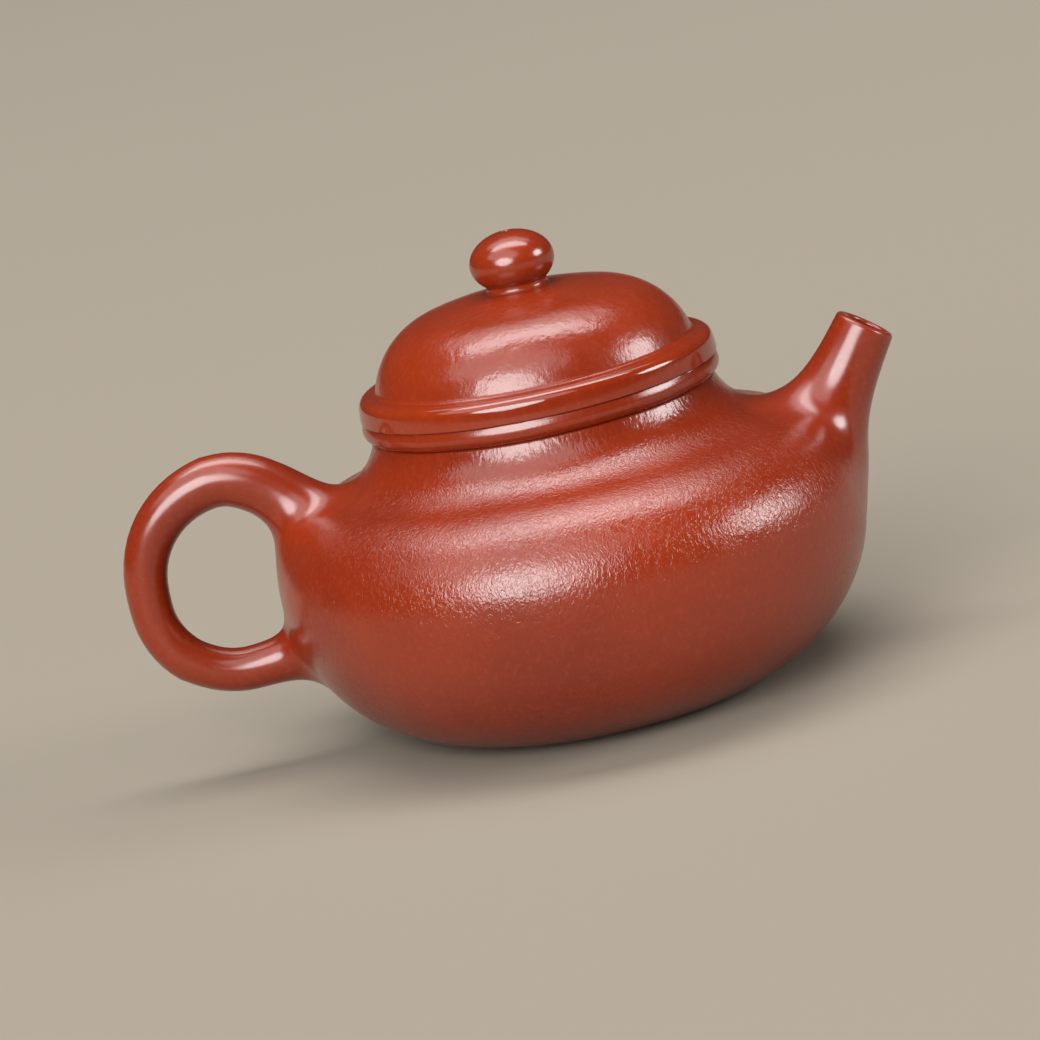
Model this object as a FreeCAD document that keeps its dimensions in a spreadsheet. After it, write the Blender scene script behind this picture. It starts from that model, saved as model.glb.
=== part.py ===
"""Yixing clay teapot: a drum-shaped pot with a ring handle and a short straight spout, and its lid.

Millimetres. The origin is the centre of the foot, +Z is up and the spout points along +X.
Each sub-part is one piece of clay that the potter shapes by itself and lutes to the next with slip.
"""
import FreeCAD, Part
import math
import os
import Sketcher
from FreeCAD import Vector

doc = FreeCAD.newDocument("Teapot")

# Driving sizes, in millimetres and degrees
SIZES = [
    ("belly_radius", 45.3, "widest radius of the pot"),
    ("belly_height", 25.3, "height of the widest line above the foot"),
    ("foot_radius", 23.6, "outer radius of the ring that the pot stands on"),
    ("foot_land", 3.2, "width of that ring"),
    ("base_press", 1.4, "how far the middle of the base is pressed in"),
    ("wall", 2.6, "wall of the pot"),
    ("shoulder_round", 14.0, "radius of the shoulder, seen from the side"),
    ("throat_radius", 25.9, "narrowest outer radius, level with the seam of the lid"),
    ("neck_joint", 1.7, "height of the neck's own joint above the shoulder's crest"),
    ("neck_rise", 7.4, "height of the neck's top above the shoulder's crest"),
    ("rim_height", 3.0, "height of the bead around the mouth"),
    ("rim_radius", 27.6, "outer radius of that bead"),
    ("rim_bulge", 1.1, "how far the bead stands out past its edges"),
    ("mouth_radius", 23.2, "bore of the mouth"),
    ("lid_clearance", 0.3, "gap between the lid's collar and the mouth, all round"),
    ("collar_depth", 7.4, "how far the collar reaches down into the mouth"),
    ("collar_wall", 2.2, "wall of the collar"),
    ("flange_height", 3.6, "height of the bead around the lid"),
    ("flange_radius", 27.6, "outer radius of that bead"),
    ("flange_bulge", 1.1, "how far that bead stands out past its edges"),
    ("lid_wall", 2.4, "wall of the dome"),
    ("dome_step", 3.0, "how far the dome is set in from the flange"),
    ("dome_lean", 12.0, "inward lean of the dome where it leaves the flange"),
    ("dome_rise", 11.7, "height of the dome above the flange"),
    ("crown_round", 62.5, "radius of the flat crown of the dome"),
    ("cavetto", 1.2, "radius of the hollow moulding at the foot of the dome"),
    ("knob_radius", 6.5, "widest radius of the knob"),
    ("knob_half_height", 4.65, "half of the height of the knob"),
    ("knob_sink", 0.6, "depth that the knob's round form is sunk into the crown"),
    ("knob_foot", 4.3, "radius of the short foot under the knob"),
    ("vent_radius", 0.8, "radius of the air hole through knob and dome"),
    ("spout_seat", 43.6, "place of the spout on the shoulder's arc, as an angle"),
    ("spout_angle", 55.0, "rise of the spout's axis"),
    ("spout_length", 16.0, "length of the spout outside the shoulder"),
    ("spout_wall", 1.5, "wall of the spout"),
    ("tip_radius", 4.7, "outer radius of the spout's mouth"),
    ("waist_back", 7.4, "distance of the slim waist behind the mouth"),
    ("waist_radius", 5.1, "outer radius of the waist"),
    ("waist_tilt", 5.2, "lean of the waist's section against the mouth's"),
    ("flare_back", 14.9, "distance of the flare behind the mouth"),
    ("flare_radius", 7.85, "outer radius of the flare"),
    ("flare_tilt", 10.0, "lean of the flare's section against the mouth's"),
    ("root_back", 22.9, "distance of the hidden root behind the mouth"),
    ("root_radius", 10.8, "outer radius of the root"),
    ("root_tilt", 19.0, "lean of the root's section against the mouth's"),
    ("strainer_radius", 6.0, "radius of the ball strainer and of its hole in the wall"),
    ("strainer_wall", 1.2, "wall of the strainer"),
    ("strainer_depth", 2.2, "depth of the strainer's edge below the shoulder"),
    ("strainer_skirt", 1.8, "straight edge of the strainer above its ball"),
    ("sieve_radius", 0.75, "radius of one hole in the strainer"),
    ("sieve_inner", 2.0, "radius of the inner ring of holes"),
    ("sieve_outer", 3.9, "radius of the outer ring of holes"),
    ("sieve_inner_count", 6, "number of holes in the inner ring"),
    ("sieve_outer_count", 10, "number of holes in the outer ring"),
    ("handle_ring", 15.0, "radius of the upper bend of the handle's centre line"),
    ("handle_bend", 12.4, "radius of its lower bend"),
    ("handle_run", 2.5, "straight run between the two bends"),
    ("handle_offset", 4.8, "distance of the upper bend's centre outside the belly"),
    ("handle_lift", 5.5, "height of the upper bend's centre above the widest line"),
    ("handle_gather", 2.35, "how far the neck of the handle is drawn in from the upper bend"),
    ("handle_enter", 4.0, "angle at which the upper end lies inside the shoulder"),
    ("handle_bury", 9.0, "length of the lower end that lies inside the belly"),
    ("handle_joint", 7.3, "section radius at the upper end"),
    ("handle_flare", 6.3, "section radius where the handle leaves the shoulder"),
    ("handle_neck", 4.9, "section radius half-way between the upper end and the top"),
    ("handle_top", 3.9, "section radius at the top"),
    ("handle_upper", 3.7, "section radius half-way round the upper bend's outer quarter"),
    ("handle_side", 3.3, "section radius at the far side"),
    ("handle_lower", 3.4, "section radius half-way round the lower bend"),
    ("handle_low", 3.15, "section radius at the bottom"),
    ("handle_foot", 3.4, "section radius half-way along the straight foot"),
    ("handle_root", 3.9, "section radius at the lower end"),
]

# Places that follow from the sizes: centres and meeting points of the turned outline, radius and height
WORKED = [
    ("foot_inset", "Sizes.belly_radius - Sizes.foot_radius"),
    ("lower_round", "(foot_inset^2 + Sizes.belly_height^2) / (2 * foot_inset)"),
    ("lower_r", "Sizes.belly_radius - lower_round"),
    ("lower_inner", "lower_round - Sizes.wall"),
    ("inner_share", "lower_inner / lower_round"),
    ("base_edge_r", "lower_r + (Sizes.foot_radius - lower_r) * inner_share"),
    ("base_edge_z", "Sizes.belly_height * (1 - inner_share)"),
    ("inner_belly_r", "Sizes.belly_radius - Sizes.wall"),
    ("shoulder_r", "Sizes.belly_radius - Sizes.shoulder_round"),
    ("shoulder_inner", "Sizes.shoulder_round - Sizes.wall"),
    ("crest_z", "Sizes.belly_height + Sizes.shoulder_round"),
    ("joint_z", "crest_z + Sizes.neck_joint"),
    ("neck_z", "crest_z + Sizes.neck_rise"),
    ("seam_z", "neck_z + Sizes.rim_height"),
    ("throat_in", "Sizes.throat_radius - shoulder_r"),
    ("throat_up", "seam_z - Sizes.belly_height"),
    ("neck_round", "(throat_in^2 + throat_up^2 - Sizes.shoulder_round^2)"
                   " / (2 * (Sizes.shoulder_round - throat_in))"),
    ("neck_r", "Sizes.throat_radius + neck_round"),
    ("neck_inner", "neck_round + Sizes.wall"),
    ("turn_share", "Sizes.shoulder_round / (Sizes.shoulder_round + neck_round)"),
    ("turn_r", "shoulder_r + (neck_r - shoulder_r) * turn_share"),
    ("turn_z", "Sizes.belly_height + throat_up * turn_share"),
    ("turn_inner_share", "shoulder_inner / (Sizes.shoulder_round + neck_round)"),
    ("turn_inner_r", "shoulder_r + (neck_r - shoulder_r) * turn_inner_share"),
    ("turn_inner_z", "Sizes.belly_height + throat_up * turn_inner_share"),
    ("joint_r", "neck_r - sqrt(neck_round^2 - (seam_z - joint_z)^2)"),
    ("joint_inner_r", "neck_r - sqrt(neck_inner^2 - (seam_z - joint_z)^2)"),
    ("neck_top_r", "neck_r - sqrt(neck_round^2 - Sizes.rim_height^2)"),
    ("neck_top_inner_r", "neck_r - sqrt(neck_inner^2 - Sizes.rim_height^2)"),
    ("land_r", "Sizes.foot_radius - Sizes.foot_land"),
    ("press_round", "(land_r^2 + Sizes.base_press^2) / (2 * Sizes.base_press)"),
    ("base_top_z", "base_edge_z + Sizes.base_press"),
    ("base_top_round", "(base_edge_r^2 + Sizes.base_press^2) / (2 * Sizes.base_press)"),
    ("rim_edge_r", "Sizes.rim_radius - Sizes.rim_bulge"),
    ("rim_round", "(Sizes.rim_height^2 / 4 + Sizes.rim_bulge^2) / (2 * Sizes.rim_bulge)"),
    ("collar_r", "Sizes.mouth_radius - Sizes.lid_clearance"),
    ("collar_inner_r", "collar_r - Sizes.collar_wall"),
    ("collar_z", "seam_z - Sizes.collar_depth"),
    ("flange_z", "seam_z + Sizes.flange_height"),
    ("flange_edge_r", "Sizes.flange_radius - Sizes.flange_bulge"),
    ("flange_round", "(Sizes.flange_height^2 / 4 + Sizes.flange_bulge^2) / (2 * Sizes.flange_bulge)"),
    ("crown_z", "flange_z + Sizes.dome_rise"),
    ("crown_centre_z", "crown_z - Sizes.crown_round"),
    ("crown_inner", "Sizes.crown_round - Sizes.lid_wall"),
    ("dome_base_r", "Sizes.flange_radius - Sizes.dome_step"),
    ("dome_base_up", "flange_z - crown_centre_z"),
    ("dome_reach", "cos(Sizes.dome_lean) * dome_base_r + sin(Sizes.dome_lean) * dome_base_up"),
    ("dome_round", "(Sizes.crown_round^2 - dome_base_r^2 - dome_base_up^2)"
                   " / (2 * (Sizes.crown_round - dome_reach))"),
    ("dome_r", "dome_base_r - dome_round * cos(Sizes.dome_lean)"),
    ("dome_drop", "dome_round * sin(Sizes.dome_lean)"),
    ("dome_z", "flange_z - dome_drop"),
    ("dome_inner", "dome_round - Sizes.lid_wall"),
    ("cavetto_up", "Sizes.cavetto + dome_drop"),
    ("cavetto_r", "dome_r + sqrt((dome_round + Sizes.cavetto)^2 - cavetto_up^2)"),
    ("cavetto_share", "dome_round / (dome_round + Sizes.cavetto)"),
    ("cavetto_top_r", "dome_r + (cavetto_r - dome_r) * cavetto_share"),
    ("cavetto_top_z", "dome_z + cavetto_up * cavetto_share"),
    ("crown_share", "Sizes.crown_round / (Sizes.crown_round - dome_round)"),
    ("crown_edge_r", "dome_r * crown_share"),
    ("crown_edge_z", "crown_centre_z + (dome_z - crown_centre_z) * crown_share"),
    ("crown_inner_share", "crown_inner / (Sizes.crown_round - dome_round)"),
    ("crown_inner_r", "dome_r * crown_inner_share"),
    ("crown_inner_z", "crown_centre_z + (dome_z - crown_centre_z) * crown_inner_share"),
    ("dome_inner_r", "dome_r + sqrt(dome_inner^2 - dome_drop^2)"),
    ("vent_top_z", "crown_centre_z + sqrt(Sizes.crown_round^2 - Sizes.vent_radius^2)"),
    ("vent_low_z", "crown_centre_z + sqrt(crown_inner^2 - Sizes.vent_radius^2)"),
    ("knob_z", "crown_z + Sizes.knob_half_height - Sizes.knob_sink"),
    ("knob_top_z", "knob_z + 2 * Sizes.knob_half_height"),
    ("foot_edge_z", "crown_centre_z + sqrt(Sizes.crown_round^2 - Sizes.knob_radius^2)"),
    ("seat_x", "shoulder_r + Sizes.shoulder_round * cos(Sizes.spout_seat)"),
    ("seat_z", "Sizes.belly_height + Sizes.shoulder_round * sin(Sizes.spout_seat)"),
    ("strainer_inner", "Sizes.strainer_radius - Sizes.strainer_wall"),
    ("strainer_edge", "0 - Sizes.strainer_depth"),
    ("strainer_ball", "strainer_edge - Sizes.strainer_skirt"),
    ("strainer_low", "strainer_ball - strainer_inner"),
    ("strainer_bottom", "strainer_ball - Sizes.strainer_radius"),
    ("handle_x", "0 - Sizes.belly_radius - Sizes.handle_offset"),
    ("handle_z", "Sizes.belly_height + Sizes.handle_lift"),
    ("handle_crown_z", "handle_z + Sizes.handle_ring"),
    ("handle_far_x", "handle_x - Sizes.handle_ring"),
    ("handle_bend_x", "handle_far_x + Sizes.handle_bend"),
    ("handle_bend_z", "handle_z - Sizes.handle_run"),
    ("handle_bottom_z", "handle_bend_z - Sizes.handle_bend"),
    ("handle_root_x", "Sizes.handle_bury - Sizes.belly_radius"),
    ("handle_foot_x", "(handle_bend_x + handle_root_x) / 2"),
    ("handle_lower_x", "handle_bend_x - Sizes.handle_bend * cos(45)"),
    ("handle_lower_z", "handle_bend_z - Sizes.handle_bend * sin(45)"),
    ("handle_upper_x", "handle_x - Sizes.handle_ring * cos(45)"),
    ("handle_upper_z", "handle_z + Sizes.handle_ring * sin(45)"),
    ("handle_enter_x", "handle_x + Sizes.handle_ring * cos(Sizes.handle_enter)"),
    ("handle_enter_z", "handle_z + Sizes.handle_ring * sin(Sizes.handle_enter)"),
    ("handle_inner", "Sizes.handle_ring - Sizes.handle_gather"),
    ("neck_angle", "(90 + Sizes.handle_enter) / 2"),
    ("handle_neck_x", "handle_x + handle_inner * cos(neck_angle)"),
    ("handle_neck_z", "handle_z + handle_inner * sin(neck_angle)"),
    ("flare_angle", "(neck_angle + Sizes.handle_enter) / 2"),
    ("handle_flare_x", "handle_x + handle_inner * cos(flare_angle)"),
    ("handle_flare_z", "handle_z + handle_inner * sin(flare_angle)"),
]


def fill_sheet(name, rows):
    sheet = doc.addObject("Spreadsheet::Sheet", name)
    for row, (alias, content, note) in enumerate(rows, start=1):
        sheet.set(f"A{row}", note)
        sheet.set(f"B{row}", content)
        sheet.setAlias(f"B{row}", alias)
    return sheet


sizes = fill_sheet("Sizes", [(alias, str(size), note) for alias, size, note in SIZES])
worked = fill_sheet("Worked", [(alias, "=" + formula, alias) for alias, formula in WORKED])
doc.recompute()
SIZE_NAMES = [alias for alias, size, note in SIZES]


def cell(name):
    """The expression that reads a named cell of either sheet."""
    return ("Sizes." if name in SIZE_NAMES else "Worked.") + name


def value(name):
    """The number that a named cell holds now."""
    return float(sizes.get(name) if name in SIZE_NAMES else worked.get(name))


# Sketches
def new_body(label):
    body = doc.addObject("PartDesign::Body", label)
    body.Label = label
    return body


def sketch_on(body, name, role):
    sketch = body.newObject("Sketcher::SketchObject", name)
    plane = next(item for item in body.Origin.OriginFeatures if item.Role == role)
    sketch.AttachmentSupport = [(plane, "")]
    sketch.MapMode = "FlatFace"
    return sketch


# Any turn but zero, so that a tilted sketch keeps its Y axis until its own angle is set
START_TURN = 90


def tilted_sketch(body, name, across, up, angle):
    """A sketch turned about Y and moved within the XZ plane, each by an expression."""
    sketch = sketch_on(body, name, "XY_Plane")
    turn = FreeCAD.Rotation(Vector(0, 1, 0), START_TURN)
    sketch.AttachmentOffset = FreeCAD.Placement(Vector(0, 0, 0), turn)
    sketch.setExpression("AttachmentOffset.Base.x", across)
    sketch.setExpression("AttachmentOffset.Base.z", up)
    sketch.setExpression("AttachmentOffset.Rotation.Angle", angle)
    return sketch


def along_spout(sketch):
    """Turn an XZ sketch so that its upright axis is the spout's axis, with zero on the shoulder."""
    sketch.setExpression("AttachmentOffset.Base.x", cell("seat_x"))
    sketch.setExpression("AttachmentOffset.Base.y", cell("seat_z"))
    sketch.setExpression("AttachmentOffset.Rotation.Angle", cell("spout_angle") + " - 90")


def place_point(sketch, geometry, position, across, up):
    """Tie a point of a sketch to its two cells; an empty name is zero."""
    if across:
        index = sketch.addConstraint(Sketcher.Constraint("DistanceX", geometry, position, value(across)))
        sketch.setExpression(f"Constraints[{index}]", cell(across))
    else:
        sketch.addConstraint(Sketcher.Constraint("PointOnObject", geometry, position, -2))
    if up:
        index = sketch.addConstraint(Sketcher.Constraint("DistanceY", geometry, position, value(up)))
        sketch.setExpression(f"Constraints[{index}]", cell(up))
    else:
        sketch.addConstraint(Sketcher.Constraint("PointOnObject", geometry, position, -1))


def arc_between(start, end, radius, turn):
    """The short arc from start to end that turns left (1) or right (-1)."""
    chord = end - start
    middle = (start + end) * 0.5
    reach = math.sqrt(radius * radius - chord.Length ** 2 / 4)
    left = Vector(-chord.y, chord.x, 0).normalize()
    centre = middle + left * (reach * turn)
    first, last = (start, end) if turn > 0 else (end, start)
    angles = [math.atan2(point.y - centre.y, point.x - centre.x) for point in (first, last)]
    return Part.ArcOfCircle(Part.Circle(centre, Vector(0, 0, 1), radius), angles[0], angles[1])


def draw_outline(sketch, corners):
    """A closed outline. A corner is (across, up) or (across, up, radius, turn), the arc that leaves it."""
    points = [Vector(value(c[0]) if c[0] else 0, value(c[1]) if c[1] else 0, 0) for c in corners]
    ends = []
    for number, corner in enumerate(corners):
        start = points[number]
        end = points[(number + 1) % len(corners)]
        if len(corner) == 2:
            index = sketch.addGeometry(Part.LineSegment(start, end))
            ends.append((index, 1, 2))
        else:
            index = sketch.addGeometry(arc_between(start, end, value(corner[2]), corner[3]))
            ends.append((index, 1, 2) if corner[3] > 0 else (index, 2, 1))
    for number, (index, first, last) in enumerate(ends):
        before = ends[number - 1]
        sketch.addConstraint(Sketcher.Constraint("Coincident", before[0], before[2], index, first))
        place_point(sketch, index, first, corners[number][0], corners[number][1])
    for number, corner in enumerate(corners):
        if len(corner) == 4:
            radius = Sketcher.Constraint("Radius", ends[number][0], value(corner[2]))
            index = sketch.addConstraint(radius)
            sketch.setExpression(f"Constraints[{index}]", cell(corner[2]))


def draw_circle(sketch, radius, less=None):
    """A circle about the sketch's own zero, with an expression for its radius."""
    size = value(radius) - (value(less) if less else 0)
    index = sketch.addGeometry(Part.Circle(Vector(0, 0, 0), Vector(0, 0, 1), size))
    sketch.addConstraint(Sketcher.Constraint("Coincident", index, 3, -1, 1))
    constraint = sketch.addConstraint(Sketcher.Constraint("Radius", index, size))
    expression = cell(radius) + (" - " + cell(less) if less else "")
    sketch.setExpression(f"Constraints[{constraint}]", expression)


# Features
def turn_about_axis(body, name, sketch, kind="PartDesign::Revolution"):
    """Revolve or groove a sketch all the way about its own upright axis."""
    feature = body.newObject(kind, name)
    feature.Profile = sketch
    feature.ReferenceAxis = (sketch, ["V_Axis"])
    feature.Angle = 360
    return feature


def turned(label, corners):
    """A clay piece turned about the pot's axis from one closed outline."""
    body = new_body(label)
    sketch = sketch_on(body, label + "_outline", "XZ_Plane")
    draw_outline(sketch, corners)
    turn_about_axis(body, label + "_turned", sketch)
    return body


def cut_away(body, name, corners, spout_axis=False):
    """Groove a closed outline out of a piece, about the pot's axis or the spout's."""
    sketch = sketch_on(body, name + "_outline", "XZ_Plane")
    if spout_axis:
        along_spout(sketch)
    draw_outline(sketch, corners)
    before = body.Shape.Volume
    turn_about_axis(body, name, sketch, "PartDesign::Groove")
    doc.recompute()
    if body.Shape.Volume >= before:
        raise RuntimeError(name + " cuts nothing")


# The outer outline of the whole pot up to its neck, which spout and handle are trimmed to
POT_ENVELOPE = [
    ("", ""),
    ("foot_radius", "", "lower_round", 1),
    ("belly_radius", "belly_height", "shoulder_round", 1),
    ("turn_r", "turn_z", "neck_round", -1),
    ("neck_top_r", "neck_z"),
    ("", "neck_z"),
]


# Base disc: pressed up in the middle, so that the pot stands on a flat ring
def make_base_disc():
    return turned("base_disc", [
        ("", "base_press", "press_round", -1),
        ("land_r", ""),
        ("foot_radius", ""),
        ("base_edge_r", "base_edge_z", "base_top_round", 1),
        ("", "base_top_z"),
    ])


# Lower wall: a strip of clay rolled into a drum and beaten in towards the foot
def make_lower_wall():
    return turned("lower_wall", [
        ("foot_radius", "", "lower_round", 1),
        ("belly_radius", "belly_height"),
        ("inner_belly_r", "belly_height", "lower_inner", -1),
        ("base_edge_r", "base_edge_z"),
    ])


# Upper wall: a second strip, beaten in towards the shoulder, with a hole for the strainer
def make_upper_wall():
    body = turned("upper_wall", [
        ("belly_radius", "belly_height", "shoulder_round", 1),
        ("turn_r", "turn_z"),
        ("turn_inner_r", "turn_inner_z", "shoulder_inner", -1),
        ("inner_belly_r", "belly_height"),
    ])
    doc.recompute()
    cut_away(body, "strainer_hole", [
        ("", "strainer_bottom"),
        ("strainer_radius", "strainer_bottom"),
        ("strainer_radius", "spout_length"),
        ("", "spout_length"),
    ], spout_axis=True)
    return body


# Shoulder disc: closes the drum, and the mouth is cut through it
def make_shoulder_disc():
    return turned("shoulder_disc", [
        ("turn_r", "turn_z", "neck_round", -1),
        ("joint_r", "joint_z"),
        ("joint_inner_r", "joint_z", "neck_inner", 1),
        ("turn_inner_r", "turn_inner_z"),
    ])


# Neck ring: the hollow-sided neck on the shoulder
def make_neck_ring():
    return turned("neck_ring", [
        ("joint_r", "joint_z", "neck_round", -1),
        ("neck_top_r", "neck_z"),
        ("neck_top_inner_r", "neck_z", "neck_inner", 1),
        ("joint_inner_r", "joint_z"),
    ])


# Mouth rim: a bead with a flat top that the lid rests on
def make_mouth_rim():
    return turned("mouth_rim", [
        ("mouth_radius", "neck_z"),
        ("rim_edge_r", "neck_z", "rim_round", 1),
        ("rim_edge_r", "seam_z"),
        ("mouth_radius", "seam_z"),
    ])


# Lid flange: the matching bead on the lid
def make_lid_flange():
    return turned("lid_flange", [
        ("collar_inner_r", "seam_z"),
        ("flange_edge_r", "seam_z", "flange_round", 1),
        ("flange_edge_r", "flange_z"),
        ("collar_inner_r", "flange_z"),
    ])


# Lid collar: the wall under the flange that keeps the lid in the mouth
def make_lid_collar():
    return turned("lid_collar", [
        ("collar_inner_r", "collar_z"),
        ("collar_r", "collar_z"),
        ("collar_r", "seam_z"),
        ("collar_inner_r", "seam_z"),
    ])


# Lid dome: steep sides, a flat crown and an air hole in the middle
def make_lid_dome():
    return turned("lid_dome", [
        ("dome_inner_r", "flange_z"),
        ("cavetto_r", "flange_z", "cavetto", -1),
        ("cavetto_top_r", "cavetto_top_z", "dome_round", 1),
        ("crown_edge_r", "crown_edge_z", "crown_round", 1),
        ("vent_radius", "vent_top_z"),
        ("vent_radius", "vent_low_z", "crown_inner", -1),
        ("crown_inner_r", "crown_inner_z", "dome_inner", -1),
    ])


# Lid knob: a flattened ball on a short foot, trimmed to the crown, with the air hole through it
def make_lid_knob():
    body = new_body("lid_knob")
    plane = next(item for item in body.Origin.OriginFeatures if item.Role == "XY_Plane")
    ball = body.newObject("PartDesign::AdditiveEllipsoid", "knob_ball")
    ball.setExpression("Radius1", cell("knob_half_height"))
    ball.setExpression("Radius2", cell("knob_radius"))
    ball.setExpression("Radius3", cell("knob_radius"))
    foot = body.newObject("PartDesign::AdditiveCylinder", "knob_foot_stub")
    foot.setExpression("Radius", cell("knob_foot"))
    foot.setExpression("Height", f"{cell('knob_z')} - {cell('foot_edge_z')}")
    for feature, height in ((ball, "knob_z"), (foot, "foot_edge_z")):
        feature.AttachmentSupport = [(plane, "")]
        feature.MapMode = "FlatFace"
        feature.setExpression("AttachmentOffset.Base.z", cell(height))
    doc.recompute()
    cut_away(body, "crown_trim", [
        ("", "seam_z"),
        ("knob_radius", "seam_z"),
        ("knob_radius", "foot_edge_z", "crown_round", 1),
        ("", "crown_z"),
    ])
    cut_away(body, "knob_vent", [
        ("", "seam_z"),
        ("vent_radius", "seam_z"),
        ("vent_radius", "knob_top_z"),
        ("", "knob_top_z"),
    ])
    return body


# Spout: a short straight tube that flares into the shoulder
SPOUT_SECTIONS = [
    ("tip", "tip_radius", None, None),
    ("waist", "waist_radius", "waist_back", "waist_tilt"),
    ("flare", "flare_radius", "flare_back", "flare_tilt"),
    ("root", "root_radius", "root_back", "root_tilt"),
]


def spout_section(body, name, radius, back, tilt, less=None):
    """A round section of the spout, some way behind its mouth and leaning towards the belly."""
    behind = f" - {cell(back)}" if back else ""
    lean = f" + {cell(tilt)}" if tilt else ""
    distance = f"({cell('spout_length')}{behind})"
    angle = cell("spout_angle")
    across = f"{cell('seat_x')} + {distance} * cos({angle})"
    up = f"{cell('seat_z')} + {distance} * sin({angle})"
    sketch = tilted_sketch(body, name, across, up, f"90 - {angle}{lean}")
    draw_circle(sketch, radius, less)
    return sketch


def loft_sections(body, name, kind, sections):
    loft = body.newObject(kind, name)
    loft.Profile = sections[0]
    loft.Sections = sections[1:]
    loft.Ruled = False
    doc.recompute()


def make_spout():
    body = new_body("spout")
    outside = [spout_section(body, "spout_" + name, radius, back, tilt)
               for name, radius, back, tilt in SPOUT_SECTIONS]
    loft_sections(body, "spout_outside", "PartDesign::AdditiveLoft", outside)
    solid = body.Shape.Volume
    inside = [spout_section(body, "bore_" + name, radius, back, tilt, "spout_wall")
              for name, radius, back, tilt in SPOUT_SECTIONS]
    loft_sections(body, "spout_bore", "PartDesign::SubtractiveLoft", inside)
    if body.Shape.Volume >= solid:
        raise RuntimeError("the spout has no bore")
    cut_away(body, "spout_trim", POT_ENVELOPE)
    return body


# Spout strainer: a pierced ball of clay set in the hole behind the spout
def pierce(body, name, ring="", count=""):
    """Punch one hole, and repeat it round the strainer's axis if a count is named."""
    tilt = "90 - " + cell("spout_angle")
    sketch = tilted_sketch(body, name + "_mark", cell("seat_x"), cell("seat_z"), tilt)
    hole = Part.Circle(Vector(value(ring) if ring else 0, 0, 0), Vector(0, 0, 1), value("sieve_radius"))
    index = sketch.addGeometry(hole)
    place_point(sketch, index, 3, ring, "")
    radius = sketch.addConstraint(Sketcher.Constraint("Radius", index, value("sieve_radius")))
    sketch.setExpression(f"Constraints[{radius}]", cell("sieve_radius"))
    pocket = body.newObject("PartDesign::Pocket", name)
    pocket.Profile = sketch
    pocket.setExpression("Length", f"{cell('spout_length')} - {cell('strainer_bottom')}")
    pocket.Midplane = True
    before = body.Shape.Volume
    doc.recompute()
    if count:
        pattern = body.newObject("PartDesign::PolarPattern", name + "_ring")
        pattern.Originals = [pocket]
        pattern.Axis = (sketch, ["N_Axis"])
        pattern.Angle = 360
        pattern.setExpression("Occurrences", cell(count))
        body.Tip = pattern
        doc.recompute()
    if body.Shape.Volume >= before:
        raise RuntimeError(name + " pierces nothing")


def make_spout_strainer():
    body = new_body("spout_strainer")
    sketch = sketch_on(body, "strainer_outline", "XZ_Plane")
    along_spout(sketch)
    draw_outline(sketch, [
        ("strainer_inner", "strainer_edge"),
        ("strainer_inner", "strainer_ball", "strainer_inner", -1),
        ("", "strainer_low"),
        ("", "strainer_bottom", "strainer_radius", 1),
        ("strainer_radius", "strainer_ball"),
        ("strainer_radius", "strainer_edge"),
    ])
    turn_about_axis(body, "strainer_turned", sketch)
    doc.recompute()
    pierce(body, "middle_hole")
    for ring in ("sieve_inner", "sieve_outer"):
        pierce(body, ring + "_hole", ring, ring + "_count")
    return body


# Handle: a solid roll of clay bent into an ear, stouter towards the shoulder
HANDLE_SECTIONS = [
    ("root", "handle_root", "handle_root_x", "handle_bottom_z", "-90"),
    ("foot", "handle_foot", "handle_foot_x", "handle_bottom_z", "-90"),
    ("low", "handle_low", "handle_bend_x", "handle_bottom_z", "-90"),
    ("lower", "handle_lower", "handle_lower_x", "handle_lower_z", "-45"),
    ("side", "handle_side", "handle_far_x", "handle_z", "0"),
    ("upper", "handle_upper", "handle_upper_x", "handle_upper_z", "45"),
    ("top", "handle_top", "handle_x", "handle_crown_z", "90"),
    ("neck", "handle_neck", "handle_neck_x", "handle_neck_z", "180 - " + cell("neck_angle")),
    ("flare", "handle_flare", "handle_flare_x", "handle_flare_z", "180 - " + cell("flare_angle")),
    ("joint", "handle_joint", "handle_enter_x", "handle_enter_z", "180 - " + cell("handle_enter")),
]


def draw_bend(path, across, up, radius, start, end):
    """One round bend of the handle's path, from its centre, its radius and its two angles."""
    centre = Vector(value(across), value(up), 0)
    circle = Part.Circle(centre, Vector(0, 0, 1), value(radius))
    bend = path.addGeometry(Part.ArcOfCircle(circle, math.radians(start), math.radians(end)))
    size = path.addConstraint(Sketcher.Constraint("Radius", bend, value(radius)))
    path.setExpression(f"Constraints[{size}]", cell(radius))
    return bend


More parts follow.
